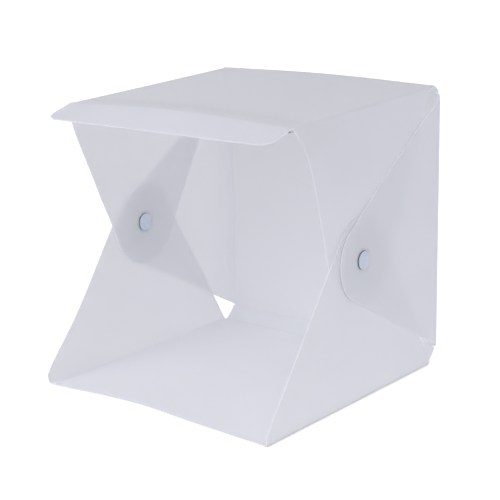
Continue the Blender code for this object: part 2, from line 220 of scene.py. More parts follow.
class Panel:
    """A panel of the sheet with its own frame: x across, y along the sheet and z inward.

    The frame starts at the sharp corner before the panel. before is the bend there, and
    flat_start is how far along the flat die-cut sheet that corner counts, for the grain.
    """

    def __init__(self, corner, turn, wing_x, wing_radius, before, flat_start):
        self.matrix = Matrix.Translation(corner) @ Matrix.Rotation(turn, 4, "X")
        self.wing_x = wing_x
        self.before = before
        self.flat_start = flat_start
        self.start = before.setback if before else 0
        self.roll = Bend(math.pi / 2, wing_radius)
        self.side = wing_x - self.roll.setback if wing_x else math.inf

    def fold(self, across, along):
        """Where a point of the flat sheet lies once the bends are rolled, and its crease share."""
        sign = math.copysign(1, across)
        over_side = abs(across) - self.side
        if self.before and along < self.start:
            bend = self.before
            angle = min((self.start - along) / bend.radius, bend.angle)
            past = self.start - along - angle * bend.radius
            share = bend_flatness * angle / bend.angle
            run = (math.sin(angle) * (1 - bend_flatness) + math.sin(bend.angle) * share,
                   (1 - math.cos(angle)) * (1 - bend_flatness)
                   + (1 - math.cos(bend.angle)) * share)
            y = self.start - bend.radius * run[0] - past * math.cos(angle)
            z = bend.radius * run[1] + past * math.sin(angle)
            return Vector((across, y, z)), bend.depth * math.sin(math.pi * angle / bend.angle)
        if over_side <= 0:
            return Vector((across, along, 0)), 0
        roll = self.roll
        if over_side < roll.length:
            angle = over_side / roll.radius
            return Vector((sign * (self.side + roll.radius * math.sin(angle)), along,
                           roll.radius * (1 - math.cos(angle)))), roll.depth * math.sin(2 * angle)
        return Vector((sign * self.wing_x, along, roll.radius + over_side - roll.length)), 0

    def cuts(self, outline):
        """Lines of the flat sheet along which it is cut into cells, fine in the bends."""
        lines = []
        for step in range(bend_steps + 1):
            over_side = self.roll.length * step / bend_steps
            lines += [(0, self.side + over_side), (0, -self.side - over_side)]
            if self.before:
                lines.append((1, self.start - self.before.length * step / bend_steps))
        lines = [line for line in lines if math.isfinite(line[1])]
        for axis in (0, 1):
            low = min(point[axis] for point in outline)
            high = max(point[axis] for point in outline)
            taken = [line[1] for line in lines if line[0] == axis] + [low, high]
            for number in range(math.ceil(low / grid_pitch), math.ceil(high / grid_pitch)):
                place = number * grid_pitch
                if min(abs(place - other) for other in taken) > grid_pitch / 3:
                    lines.append((axis, place))
        return lines


def distance_to(point, ends):
    """Distance from a point to the straight stretch between two ends, all on the flat sheet."""
    first, last = Vector(ends[0]), Vector(ends[1])
    run = last - first
    share = max(0, min(1, (point - first).dot(run) / run.length_squared))
    return (point - first - run * share).length


def sheet_piece(name, panel, outline, free, settle=None):
    """Cut a flat outline from the sheet, roll its bends, and give it its thickness and edges.

    free lists the numbers of the outline's stretches that are cut edges. settle moves a folded
    point to where the springy sheet comes to rest, by its place and its distance to those edges.
    """
    flat = bmesh.new()
    flat.faces.new([flat.verts.new((*point, 0)) for point in outline])
    bmesh.ops.inset_region(flat, faces=flat.faces[:], thickness=edge_band, use_boundary=True,
                           use_even_offset=True)
    for axis, place in panel.cuts(outline):
        normal = Vector((1 - axis, axis, 0))
        bmesh.ops.bisect_plane(flat, geom=flat.verts[:] + flat.edges[:] + flat.faces[:],
                               dist=sliver, plane_co=normal * place, plane_no=normal)
    bmesh.ops.dissolve_degenerate(flat, dist=sliver, edges=flat.edges[:])
    edges = [(outline[number], outline[(number + 1) % len(outline)]) for number in free]
    places, creases, gaps = [], [], []
    for vertex in flat.verts:
        across, along = vertex.co.x, vertex.co.y
        point = Vector((across, along))
        places.append((across, along + panel.flat_start, 0))
        gaps.append(min([distance_to(point, ends) for ends in edges], default=1.0))
        folded, crease = panel.fold(across, along)
        creases.append(crease)
        vertex.co = panel.matrix @ folded
        if settle:
            vertex.co = settle(vertex.co, gaps[-1])
    mesh = bpy.data.meshes.new(name)
    flat.to_mesh(mesh)
    flat.free()
    for kind, numbers, label in (("FLOAT", gaps, "to_edge"), ("FLOAT", creases, "crease")):
        mesh.attributes.new(label, kind, "POINT").data.foreach_set("value", numbers)
    spread = [number for place in places for number in place]
    mesh.attributes.new("flat_place", "FLOAT_VECTOR", "POINT").data.foreach_set("vector", spread)
    mesh.materials.append(white_sheet)
    mesh.materials.append(cut_edge)
    piece = bpy.data.objects.new(name, mesh)
    bpy.context.scene.collection.objects.link(piece)
    thickness = piece.modifiers.new("sheet_thickness", "SOLIDIFY")
    thickness.thickness = sheet_thickness
    thickness.offset = 0
    thickness.material_offset_rim = 1
    return piece


def settled(piece):
    """Apply a piece's modifiers, round its cut edges and shade its faces smooth."""
    bpy.context.view_layer.update()
    solid = bpy.data.meshes.new_from_object(piece.evaluated_get(
        bpy.context.evaluated_depsgraph_get()))
    solid.name = piece.name
    piece.modifiers.clear()
    piece.data = solid
    shape = bmesh.new()
    shape.from_mesh(solid)
    layer = shape.verts.layers.float["to_edge"]
    sharp = [edge for edge in shape.edges
             if len(edge.link_faces) == 2 and edge.calc_face_angle() > cut_angle
             and all(vertex[layer] < cut_rounding for vertex in edge.verts)]
    bmesh.ops.bevel(shape, geom=sharp, offset=cut_rounding, segments=2, profile=0.5,
                    affect="EDGES", clamp_overlap=True, material=1)
    for face in shape.faces:
        if min(vertex[layer] for vertex in face.verts) > edge_band:
            face.material_index = 0
    shape.to_mesh(solid)
    shape.free()
    solid.shade_smooth()
    solid.set_sharp_from_angle(angle=smooth_angle)
    return piece


# Base
#
# The base is the front part of the sheet and lies on the table. Its free front edge is cut bare
# and springs up a little in the middle, because only its sides are held by the wings.

crease_radius = 0.0020          # pressed creases beside the base and the top
bottom_bend_radius = 0.0114     # bend between the base and the back
base_bow = 0.0037
base_bow_middle = -0.012
base_bow_reach = 0.085          # how far back the bow fades away
crown_power = 1.5               # how fast a bow or a crown flattens towards its sides
left_lift = 0.0020              # how much its left front corner stands off the table
lift_from = 0.050               # across, from where the lift begins to where it is full
lift_to = -0.020
lift_height = 0.060             # up the left wing, where it is gone
joints = {joint["name"]: joint for joint in frame["joints"]}


def hinge(name):
    """Point of a joint's axis at rest."""
    return Vector(joints[name]["pos_m"])


def eased(share):
    """A share held between 0 and 1, with a smooth start and end."""
    share = max(0, min(1, share))
    return share * share * (3 - 2 * share)


front_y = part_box("base_panel")[0].y
bottom_corner = hinge("back_fold")
bottom_bend = Bend(math.pi / 2, bottom_bend_radius)
base = Panel(Vector((0, front_y, bottom_corner.z)), 0, hinge("right_base_wing_fold").x,
             crease_radius, None, 0)
base_end = bottom_corner.y - front_y - bottom_bend.setback


def settle_base(point, to_edge):
    """Bow of the free front edge, and lift of the left front corner."""
    half = base.side
    middle = base_bow_middle
    share = (point.x - middle) / (half - middle if point.x > middle else half + middle)
    side_fade = max(0, 1 - share * share) ** crown_power
    back_fade = max(0, 1 - (point.y - front_y) / base_bow_reach) ** 2
    lift = left_lift * eased((point.x - lift_from) / (lift_to - lift_from))
    lift *= eased(1 - (point.z - bottom_corner.z) / lift_height)
    return point + Vector((0, 0, (base_bow * side_fade + lift) * back_fade))


base_outline = [(-base.side, 0), (base.side, 0), (base.side, base_end), (-base.side, base_end)]
base_sheet = settled(sheet_piece("base_sheet", base, base_outline, [0], settle_base))
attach(base_sheet, "base")
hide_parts("base_panel")


# Back
#
# The back stands up from the base through a wide rolled bend, which is as wide as the sheet. The
# bend belongs to both, so it turns little by little from the base to the back.

back_crease_radius = 0.0070     # wider creases, because the back's wings go round the others
top_bend_radius = 0.0060        # bend between the back and the top
back_crown = 0.0020             # how much its upper edge springs up in the middle
back_crown_reach = 0.060        # down the back, where that crown is gone
top_rise = 0.0008               # the whole top rides a little high on its wings
bend_sides = [0, 1, 5, 6]       # cut stretches beside the bend, in the outline of a back or top
top_corner = hinge("top_fold")
top_wing_x = hinge("right_top_wing_fold").x
strip_half_width = top_wing_x + sheet_thickness / 2     # half the sheet's width in its bends
top_slope = math.asin(abs(joints["right_top_wing_fold"]["axis"][2]))
top_bend = Bend(math.pi / 2 + top_slope, top_bend_radius)
flat_back_start = base_end + bottom_bend.length - bottom_bend.setback
back = Panel(bottom_corner, math.pi / 2, hinge("right_back_wing_fold").x, back_crease_radius,
             bottom_bend, flat_back_start)
back_end = top_corner.z - bottom_corner.z - top_bend.setback


def mirrored(half):
    """An outline from its right half, which runs from the sheet's start to its end."""
    return half + [(-across, along) for across, along in reversed(half)]


def panel_half(panel, end):
    """Right half of a panel that starts with a bend as wide as the sheet."""
    return [(strip_half_width, panel.start - panel.before.length),
            (strip_half_width, panel.start), (panel.side, panel.start), (panel.side, end)]


def crown_share(point):
    """1 in the middle of a crowned edge, and 0 at its sides."""
    return max(0, 1 - (point.x / strip_half_width) ** 2) ** crown_power


def settle_back(point, to_edge):
    """Crown of the back's upper edge."""
    rise = eased((point.z - top_corner.z) / back_crown_reach + 1)
    return point + Vector((0, 0, (back_crown * crown_share(point) + top_rise) * rise))


back_outline = mirrored(panel_half(back, back_end))
back_sheet = settled(sheet_piece("back_sheet", back, back_outline, bend_sides, settle_back))
bend_from = base.matrix @ Vector((0, base_end, 0))
bend_to = back.matrix @ Vector((0, back.start, 0))
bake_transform(back_sheet, "base", "back", start=bend_from, end=bend_to)
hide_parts("back_panel")


# Top
#
# The top leans down a little towards the open front. The sheet springs up between its two front
# corners, so the crease of the flap is slightly crowned.

flap_length = 0.0300
flap_bend_radius = 0.0040
crease_margin = 0.002           # flat strip beside the flap's crease that turns with it
top_crown = 0.0035              # rise of the flap's crease in the middle
crown_run = 1.6                 # how late that rise comes, from the back to the crease
left_spread = 0.0020            # how far its left front corner springs outward
spread_reach = 0.170            # from the front edge back to where that spread is gone
flap_droop = -math.radians(joints["flap_fold"]["range_deg"][0])
inner_face = sheet_thickness / 2
flap_bend = Bend(flap_droop, flap_bend_radius)
forward = Vector((0, -math.cos(top_slope), -math.sin(top_slope)))
top_run = forward.dot(hinge("flap_fold") - top_corner) + inner_face * math.tan(flap_droop / 2)
flat_top_start = flat_back_start + back_end + top_bend.length - top_bend.setback
top = Panel(top_corner, math.pi + top_slope, top_wing_x, crease_radius, top_bend,
            flat_top_start)
top_end = top_run - flap_bend.setback - crease_margin


def spring_top(point):
    """Rise of the top and spread of its left front corner, and of the wings on it."""
    front_share = eased(1 - (point.y - front_y) / spread_reach)
    side_share = max(0, min(1, -point.x / top.side))
    return point + Vector((-left_spread * front_share * side_share, 0, top_rise))


def settle_top(point, to_edge):
    """Crown of the top and the flap: full at the crease, and none at the flap's free edge."""
    in_top = top.matrix.inverted() @ point
    if in_top.y < top_run:
        run = max(0, in_top.y / top_run) ** crown_run
        crown = back_crown + (top_crown - back_crown) * run
    else:
        crown = top_crown * max(0, 1 - (in_top.y - top_run) / flap_length)
    return spring_top(point) + Vector((0, 0, crown * crown_share(point)))


top_outline = mirrored(panel_half(top, top_end))
top_sheet = settled(sheet_piece("top_sheet", top, top_outline, bend_sides, settle_top))
bend_from = back.matrix @ Vector((0, back_end, 0))
bend_to = top.matrix @ Vector((0, top.start, 0))
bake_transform(top_sheet, "back", "top", start=bend_from, end=bend_to)
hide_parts("top_panel")


# Front flap
#
# A short flap droops from the front of the top and hides the light bar. Its two free corners are
# rounded, and it folds on its crease both ways.

flap_corner_radius = 0.011
arc_step = math.radians(4)
flat_flap_start = flat_top_start + top_run - 2 * flap_bend.setback + flap_bend.length
flap = Panel(top.matrix @ Vector((0, top_run, 0)), math.pi + top_slope + flap_droop, None,
             crease_radius, flap_bend, flat_flap_start)


def arc(centre, radius, start, end):
    """Points of a round stretch from one angle to another, ends included."""
    steps = max(2, math.ceil(abs(end - start) / arc_step))
    angles = [start + (end - start) * step / steps for step in range(steps + 1)]
    return [(centre[0] + radius * math.cos(angle), centre[1] + radius * math.sin(angle))
            for angle in angles]


flap_start = flap.start - flap_bend.length - crease_margin
flap_round = (strip_half_width - flap_corner_radius, flap_length - flap_corner_radius)
flap_outline = mirrored([(strip_half_width, flap_start)]
                        + arc(flap_round, flap_corner_radius, 0, math.pi / 2))
flap_free = range(len(flap_outline) - 1)
flap_sheet = settled(sheet_piece("flap_sheet", flap, flap_outline, flap_free, settle_top))
bend_from = flap.matrix @ flap.fold(0, flap_start)[0]
bend_to = flap.matrix @ flap.fold(0, flap.start + crease_margin)[0]
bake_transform(flap_sheet, "top", "flap", start=bend_from, end=bend_to)
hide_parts("front_flap")


# Side wings
#
# Each side has three wings, which grow out of the base, the back and the top through rolled
# bends and taper to round lobes over the snap. The back's wing lies outermost, then the base's,
# then the top's, which bulges out near the open front because the sheet springs at its crease.

base_lobe_radius = 0.034
back_lobe_radius = 0.034
back_lobe_offset = Vector((0, 0.0043, -0.0013))     # from the snap to the middle of its lobe
top_lobe_radius = 0.037
prong_hole_radius = 0.0015
base_hole_radius = 0.0050
hole_sides = 48
punch_length = 0.008
front_stand = 0.0070            # how high a base wing's front edge stands before it tapers
back_notch = 0.0006             # cut between the back wing's feet and the bends
top_notch = 0.0080              # the same behind the top wing, wide enough to pass the back's
flare = 0.008                   # bulge of the top's wing at the open front
flare_depth = 0.030             # from the crease down to where it bulges most
flare_reach = 0.085             # from the front edge back to where it is gone
flare_fade = 0.027              # round the base's lobe, which holds it down
splay = 0.0040                  # lean of the left base wing at its front corner
splay_height = 0.016            # above the table where it leans out most
splay_reach = 0.150             # from the front edge back to where that lean is gone
left_bow = 0.0037               # how far the left wings bow outward at their snap
left_bow_reach = 0.115          # from the snap to where that bow is gone
upper_drop = 0.0024             # the back's wing, down on the top's along its upper edge
lower_drop = 0.0003             # and on the base's along its lower edge
drop_reach = 0.035              # over which a wing bends down on the one below
drop_from = 0.030               # from the snap, which holds the layers apart
press = 0.0008                  # the layers lie closer together than at the snap
press_from = 0.010              # from the snap
left_lean_from = 0.0110         # the left back wing leans outward over this much of its depth
lean_power = 1.3                # how fast that lean grows towards its crease
open_curve = 0.045              # how far from its crease the left base wing curves when opened
top_fade = 0.060                # down a top wing, where it no longer follows the top
cap_low, cap_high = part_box("right_outer_cap")
snap_place = (cap_low + cap_high) / 2
back_crease_y = bottom_corner.y - back_crease_radius


def tangent_angle(foot, centre, radius, sense):
    """Angle on a circle where the straight edge from a foot meets it, on the side of sense."""
    gap_y, gap_z = foot[0] - centre[0], foot[1] - centre[1]
    return math.atan2(gap_z, gap_y) + sense * math.acos(radius / math.hypot(gap_y, gap_z))


def wing_outline(panel, side, feet, stand, lobe_middle, lobe_radius):
    """A wing with its side bend, tapering from two feet along the panel to its lobe.

    stand is how high its edge over the first foot stands square before it tapers.
    """
    middle = panel.matrix.inverted() @ lobe_middle
    rise = panel.side + panel.roll.length - panel.roll.radius
    middle = (middle.y, rise + middle.z)
    foot = strip_half_width if strip_half_width - panel.side > edge_band else panel.side
    first = (feet[0], rise + stand if stand else foot)
    last = (feet[1], foot)
    start = tangent_angle(first, middle, lobe_radius, -1)
    end = tangent_angle(last, middle, lobe_radius, 1)
    while start < end:
        start += 2 * math.pi
    outline = [first] + arc(middle, lobe_radius, start, end) + [last]
    if panel.before and feet[0] - panel.start > edge_band:
        outline = [(panel.start, panel.side), (panel.start, foot)] + outline
    elif first[1] > panel.side:
        outline.insert(0, (feet[0], panel.side))
    if foot > panel.side:
        outline.append((feet[1], panel.side))
    return [(side * across, along) for along, across in outline]


def from_snap(point):
    """Distance from the snap's middle, seen from the side."""
    return math.hypot(point.y - snap_place.y, point.z - snap_place.z)


def outward(point, distance):
    """Move a point of a wing outward, and on the left by the bow that its three wings share."""
    if point.x < 0:
        distance += left_bow * eased(1 - from_snap(point) / left_bow_reach)
    return point + Vector((distance * math.copysign(1, point.x), 0, 0))


def settle_top_wing(point, to_edge):
    """Bulge outward under the crease, towards the open front and away from the snap."""
    in_top = top.matrix.inverted() @ point
    depth = in_top.z / flare_depth
    front = top_end + in_top.z * wing_front_lean
    reach = eased(1 - (front - in_top.y) / flare_reach)
    clear = eased((from_snap(point) - base_lobe_radius) / flare_fade)
    bulge = flare * depth * math.exp(1 - depth) * reach * clear
    follow = eased(1 - in_top.z / top_fade)
    pressed = press * eased((from_snap(point) - press_from) / drop_reach) * (1 - follow)
    return outward(point.lerp(spring_top(point), follow), bulge + pressed * (1 - reach))


def settle_base_wing(point, to_edge):
    """Lean the left wing outward at its front corner, where nothing holds it."""
    if point.x > 0:
        return point
    point = settle_base(point, to_edge)
    depth = max(0, point.z - bottom_corner.z) / splay_height
    near_front = eased(1 - (point.y - front_y) / splay_reach)
    return outward(point, splay * depth * math.exp(1 - depth) * near_front)


def settle_back_wing(point, to_edge):
    """Lay the outermost wing against the ones under it, closest along its upper edge."""
    upper = eased((point.z - snap_place.z) / drop_reach + 0.5)
    drop = lower_drop + (upper_drop - lower_drop) * upper
    near_edge = eased(1 - to_edge / drop_reach)
    away = eased((from_snap(point) - drop_from) / drop_reach)
    clear = eased((from_snap(point) - press_from) / drop_reach)
    off_crease = eased((back_crease_y - point.y) / drop_reach)
    inward = max(drop * near_edge * away, press * clear * upper) * off_crease
    if point.x < 0:
        lean = max(0, 1 - (bottom_corner.y - point.y) / left_lean_from) ** lean_power
        sharp_x = back.side + back_crease_radius * (1 - lean)
        point = Vector((max(point.x, -sharp_x), point.y, point.z))
    rise = eased((point.z - top_corner.z) / back_crown_reach + 1)
    rise *= eased(1 - (bottom_corner.y - point.y) / top_fade)
    return outward(point, -inward) + Vector((0, 0, top_rise * rise))


def with_hole(piece, radius, wing_x):
    """Punch the hole for the snap through a wing."""
    bpy.ops.mesh.primitive_cylinder_add(vertices=hole_sides, radius=radius, depth=punch_length,
                                        rotation=(0, math.pi / 2, 0))
    punch = bpy.context.object
    punch.location = (wing_x, snap_place.y, snap_place.z)
    hole = piece.modifiers.new("snap_hole", "BOOLEAN")
    hole.object = punch
    hole.solver = "EXACT"
    settled(piece)
    bpy.data.objects.remove(punch)


top_feet = (top.start + top_notch, top_end + crease_margin)
in_top_snap = top.matrix.inverted() @ snap_place
wing_front_lean = ((in_top_snap.y + top_lobe_radius - top_feet[1])
                   / (in_top_snap.z - top.roll.radius))
wings = {
    "base": (base, (0, base_end), front_stand, snap_place, base_lobe_radius, base_hole_radius,
             settle_base_wing),
    "back": (back, (back.start + back_notch, back_end - back_notch), 0,
             snap_place + back_lobe_offset, back_lobe_radius, prong_hole_radius,
             settle_back_wing),
    "top": (top, top_feet, 0, snap_place, top_lobe_radius, prong_hole_radius, settle_top_wing),
}
for side, label in ((-1, "left"), (1, "right")):
    for kind, (panel, feet, stand, lobe_middle, lobe_radius, hole_radius,
               settle) in wings.items():
        outline = wing_outline(panel, side, feet, stand, lobe_middle, lobe_radius)
        free = range(len(outline) - 1)
        name = label + "_" + kind + "_wing"
        wing = sheet_piece(name + "_sheet", panel, outline, free, settle)
        with_hole(wing, hole_radius, side * panel.wing_x)
        middle = sum(feet) / 2
        bend_from = panel.matrix @ Vector((side * panel.side, middle, 0))
        curve = open_curve if name == "left_base_wing" else panel.roll.radius
        bend_to = panel.matrix @ Vector((side * panel.wing_x, middle, curve))
        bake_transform(wing, kind, name, start=bend_from, end=bend_to)
        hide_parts(name)


# Snap
#
# A large snap on each side holds the three wings together. Its caps, stud and socket are moulded
# from bluish clear plastic. The dark foot of a cap's rim is painted shade, for the shadow in the
# gap under the cap.

turn_steps = 64
cap_radius = 0.0077
cap_height = 0.0019
rim_height = 0.0012             # where a cap's dome meets its rim
rim_rounding = 0.0006
rim_unshaded = 0.6                 # how far round the rim's rounding it stays free of the painted shade
dome_steps = 26
ring_place = 0.0047             # radius of the shallow ring pressed round a cap's face
ring_width = 0.0004
ring_depth = 0.00012
gate_width = 0.0006             # the mark that its mould left in the middle
gate_depth = 0.00015
prong_radius = 0.0012
flange_radius = 0.0053
flange_rounding = 0.0002
knob_radius = 0.0025
knob_neck = 0.0021
socket_bore = 0.0032
outer_seat = 0.0050             # heights from the middle of the top wing's sheet, outward
flange_high = 0.0037
flange_low = 0.0029
socket_high = 0.0015
socket_low = 0.0007
knob_tip = 0.0010
outer_prong_end = 0.0016
knob_bore_end = 0.0013
inner_seat = 0.0005             # inward from there


def snap_material():
    """Clear bluish plastic with a fine moulded skin, faint flow marks and scuffs."""
    material, start = new_material("snap_plastic")
    place = start.node("Attribute", {"attribute_name": "turned_place"}, (), "Vector")
    rim = start.node("Attribute", {"attribute_name": "rim"}, (), "Fac")
    skin = grain(start, place, 0.00025, 3.0, 0.6)
    flow = grain(start, place, 0.0035, 2.0, 0.5)
    scuffs = grain(start, place, 0.0009, 4.0, 0.7).between(0.50, 0.75)
    body = flow.between(0.3, 0.7).tint(rgb(0.700, 0.760, 0.865), rgb(0.745, 0.800, 0.895))
    body = (scuffs * 0.30).tint(body, rgb(0.800, 0.845, 0.920))
    # painted shade: the rim is tinted near black towards its foot, for the shadow in the gap under the cap
    body = rim.tint(body, rgb(0.110, 0.125, 0.185))
    bump = start.node("Bump", {}, {"Strength": 0.20, "Distance": 0.00003, "Height": skin})
    face = start.node("BsdfPrincipled", {}, {
        "Base Color": body, "Roughness": 0.26 + skin * 0.10 + scuffs * 0.14, "Normal": bump,
        "IOR": 1.58, "Specular IOR Level": 0.35, "Coat Weight": 0.25, "Coat Roughness": 0.12})
    start.node("OutputMaterial", {}, {"Surface": face})
    return material


def piece_from(name, shape, materials):
    """Turn a mesh in progress into a piece that is shaded smooth between sharp edges."""
    mesh = bpy.data.meshes.new(name)
    shape.to_mesh(mesh)
    shape.free()
    mesh.shade_smooth()
    mesh.set_sharp_from_angle(angle=smooth_angle)
    for material in materials:
        mesh.materials.append(material)
    piece = bpy.data.objects.new(name, mesh)
    bpy.context.scene.collection.objects.link(piece)
    return piece


def turned(name, profile, middle, out):
    """Turn (radius, height, rim) points about the snap's axis, with heights along out."""
    shape = bmesh.new()
    rim_shade_layer = shape.verts.layers.float.new("rim")
    place_layer = shape.verts.layers.float_vector.new("turned_place")
    rings = []
    for radius, height, rim in profile:
        ring = []
        for step in range(turn_steps if radius else 1):
            angle = 2 * math.pi * step / turn_steps
            local = Vector((out * height, radius * math.cos(angle), radius * math.sin(angle)))
            vertex = shape.verts.new(middle + local)
            # the third number of a profile point is its share of painted shade on the rim
            vertex[rim_shade_layer] = rim
            vertex[place_layer] = local
            ring.append(vertex)
        rings.append(ring)
    if profile[0][0]:
        rings.append(rings[0])
    for first, second in zip(rings, rings[1:]):
        for step in range(turn_steps):
            corners = [first[step % len(first)], first[(step + 1) % len(first)],
                       second[(step + 1) % len(second)], second[step % len(second)]]
            shape.faces.new(list(dict.fromkeys(corners)))
    bmesh.ops.recalc_face_normals(shape, faces=shape.faces)
    return piece_from(name, shape, [snap_plastic])


def cap_profile(seat, prong_end):
    """A domed cap on its seat, with its prong."""
    edge = cap_radius - rim_rounding
    points = []
    for step in range(dome_steps):
        radius = edge * step / dome_steps
        height = seat + cap_height - (cap_height - rim_height) * (radius / edge) ** 2
        height -= ring_depth * math.exp(-((radius - ring_place) / ring_width) ** 2)
        height -= gate_depth * math.exp(-(radius / gate_width) ** 2)
        points.append((radius, height, 0))
    rim = arc((edge, seat + rim_height - rim_rounding), rim_rounding, math.pi / 2, 0)
    for number, (radius, height) in enumerate(rim):
        # painted shade grows round the rim's rounding and is full at the cap's foot
        points.append((radius, height, eased(2 * number / len(rim) - rim_unshaded)))
    return points + [(cap_radius, seat, 1), (prong_radius, seat, 1),
                     (prong_radius, prong_end, 0), (0, prong_end, 0)]


def disc_profile(low, high, bore):
    """A flange with rounded corners, from its bore's upper edge round to its lower edge."""
    soft = flange_rounding
    upper = arc((flange_radius - soft, high - soft), soft, math.pi / 2, 0)
    lower = arc((flange_radius - soft, low + soft), soft, 0, -math.pi / 2)
    return [(bore, high, 0)] + [(*point, 0) for point in upper + lower] + [(bore, low, 0)]


snap_plastic = snap_material()
stud_profile = ([(0, knob_bore_end, 0), (prong_radius, knob_bore_end, 0)]
                + disc_profile(flange_low, flange_high, prong_radius)[:-1]
                + [(knob_neck, flange_low, 0), (knob_radius, (knob_tip + socket_high) / 2, 0),
                   (knob_neck, knob_tip, 0), (0, knob_tip, 0)])
snap_pieces = {
    "outer_cap": ("back", 1, cap_profile(outer_seat, outer_prong_end)),
    "snap_stud": ("back", 1, stud_profile),
    "snap_socket": ("top", 1, disc_profile(socket_low, socket_high, socket_bore)),
    "inner_cap": ("top", -1, cap_profile(inner_seat, 0)),
}
for side, label in ((-1, "left"), (1, "right")):
    middle = outward(Vector((side * top_wing_x, snap_place.y, snap_place.z)), 0)
    for kind, (panel, sense, profile) in snap_pieces.items():
        node = label + "_" + kind
        piece = turned(node + "_moulded", profile, middle, side * sense)
        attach(piece, label + "_" + panel + "_wing")
        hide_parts(node)


# Light bar
#
# Twenty lamps on a white board are held under the front of the top by a strip of foam tape. Each
# lamp is a moulded housing with plated ends and a window of yellow phosphor, and bare pads show
# between the lamps. A small plated power socket sits at the right end.

board_width = 0.010
board_thickness = 0.0012
board_rounding = 0.00012
tape_width = 0.008
tape_thickness = 0.0008
lamp_size = Vector((0.0035, 0.0028, 0.0008))
lamp_rounding = 0.00012
lamp_count = 20
window_margin = 0.00035         # housing left round a lamp's window
window_depth = 0.00008
lamp_end = Vector((0.00035, 0.0020, 0.00025))
pad_size = Vector((0.0016, 0.0011, 0.00006))
pad_offset = 0.0024             # from the middle of the board to each row of pads
crown_cuts = 60                 # along a strip that follows the top's crown


def speckled_material(name, colours, size, roughness, bump, metallic=0.0, coat=0.0, attribute=""):
    """Two shades in grains of one size, with a finer grain, a bump and rubbed spots."""
    material, start = new_material(name)
    if attribute:
        place = start.node("Attribute", {"attribute_name": attribute}, (), "Vector")
    else:
        place = start.node("TexCoord", {}, {}, "Object")
    spots = grain(start, place, size, 3.0, 0.6)
    fine = grain(start, place, size / 6, 2.0, 0.6)
    worn = grain(start, place, size * 5, 4.0, 0.7).between(0.45, 0.75)
    body = spots.between(0.35, 0.65).tint(rgb(*colours[0]), rgb(*colours[1]))
    body = (worn * 0.25).tint(body, rgb(*colours[2]))
    height = spots * 0.7 + fine * 0.3
    normal = start.node("Bump", {}, {"Strength": 0.35, "Distance": bump, "Height": height})
    face = start.node("BsdfPrincipled", {}, {
        "Base Color": body, "Roughness": roughness + fine * 0.08 + worn * 0.08,
        "Metallic": metallic, "Normal": normal, "Coat Weight": coat})
    start.node("OutputMaterial", {}, {"Surface": face})
    return material


foam = speckled_material("foam_tape", ((0.80, 0.80, 0.78), (0.90, 0.90, 0.88), (0.70, 0.70, 0.68)),
                         0.0003, 0.82, 0.00010, attribute="strip_place")
board_mask = speckled_material("board_mask", ((0.84, 0.86, 0.86), (0.88, 0.90, 0.90),
                                              (0.80, 0.81, 0.78)),
                               0.0008, 0.30, 0.00002, coat=0.3, attribute="strip_place")
bare_pad = speckled_material("bare_pad", ((0.78, 0.60, 0.34), (0.86, 0.70, 0.44),
                                          (0.60, 0.46, 0.28)),
                             0.0003, 0.30, 0.00001, metallic=1.0, attribute="strip_place")
plated = speckled_material("plated_steel", ((0.62, 0.63, 0.64), (0.70, 0.71, 0.72),
                                            (0.50, 0.50, 0.50)),
                           0.0004, 0.24, 0.00001, metallic=1.0)
housing = speckled_material("lamp_housing", ((0.88, 0.88, 0.84), (0.92, 0.92, 0.88),
                                             (0.82, 0.82, 0.76)), 0.0003, 0.32, 0.00001)
phosphor = speckled_material("lamp_phosphor", ((0.90, 0.72, 0.20), (0.95, 0.80, 0.30),
                                               (0.86, 0.66, 0.18)), 0.00012, 0.38, 0.00002,
                             coat=0.4)


def in_top(node):
    """Middle of a CAD piece in the top's frame, and its length across the tent."""
    low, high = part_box(node)
    return top.matrix.inverted() @ ((low + high) / 2), high.x - low.x


def add_block(shape, size, middle, material=0, rounding=0.0):
    """Add a rectangular block to a mesh, with its edges rounded."""
    made = bmesh.ops.create_cube(shape, size=1, matrix=Matrix.Translation(middle)
                                 @ Matrix.Diagonal((*size, 1)))["verts"]
    faces = {face for vertex in made for face in vertex.link_faces}
    for face in faces:
        face.material_index = material
    if rounding:
        edges = {edge for vertex in made for edge in vertex.link_edges}
        bmesh.ops.bevel(shape, geom=list(edges), offset=rounding, segments=2, profile=0.5,
                        affect="EDGES")


def crowned_strip(name, node, size, rounding, materials, pads=()):
    """A strip under the top that follows its crown, with pads on its lower face."""
    middle, length = in_top(node)
    shape = bmesh.new()
    add_block(shape, (length, *size), middle, 0, rounding)
    for x, y in pads:
        add_block(shape, pad_size, middle + Vector((x, y, size[1] / 2 + pad_size.z / 2)), 1)
    for number in range(1, crown_cuts):
        place = length * (number / crown_cuts - 0.5)
        bmesh.ops.bisect_plane(shape, geom=shape.verts[:] + shape.edges[:] + shape.faces[:],
                               dist=sliver, plane_co=(place, 0, 0), plane_no=(1, 0, 0))
    layer = shape.verts.layers.float_vector.new("strip_place")
    for vertex in shape.verts:
        vertex[layer] = vertex.co
        vertex.co = settle_top(top.matrix @ vertex.co, 0)
    piece = piece_from(name, shape, materials)
    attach(piece, "top")
    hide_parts(node)
    return piece


lamp_middles = [in_top("lamp_%02d" % (number + 1))[0] for number in range(lamp_count)]
between = [(first.x + second.x) / 2 for first, second in zip(lamp_middles, lamp_middles[1:])]
pads = [(x, row * pad_offset) for x in between for row in (-1, 1)]
crowned_strip("light_bar_foam", "light_bar_tape", (tape_width, tape_thickness), 0, [foam])
crowned_strip("light_bar_strip", "light_bar_board", (board_width, board_thickness),
                      board_rounding, [board_mask, bare_pad], pads)

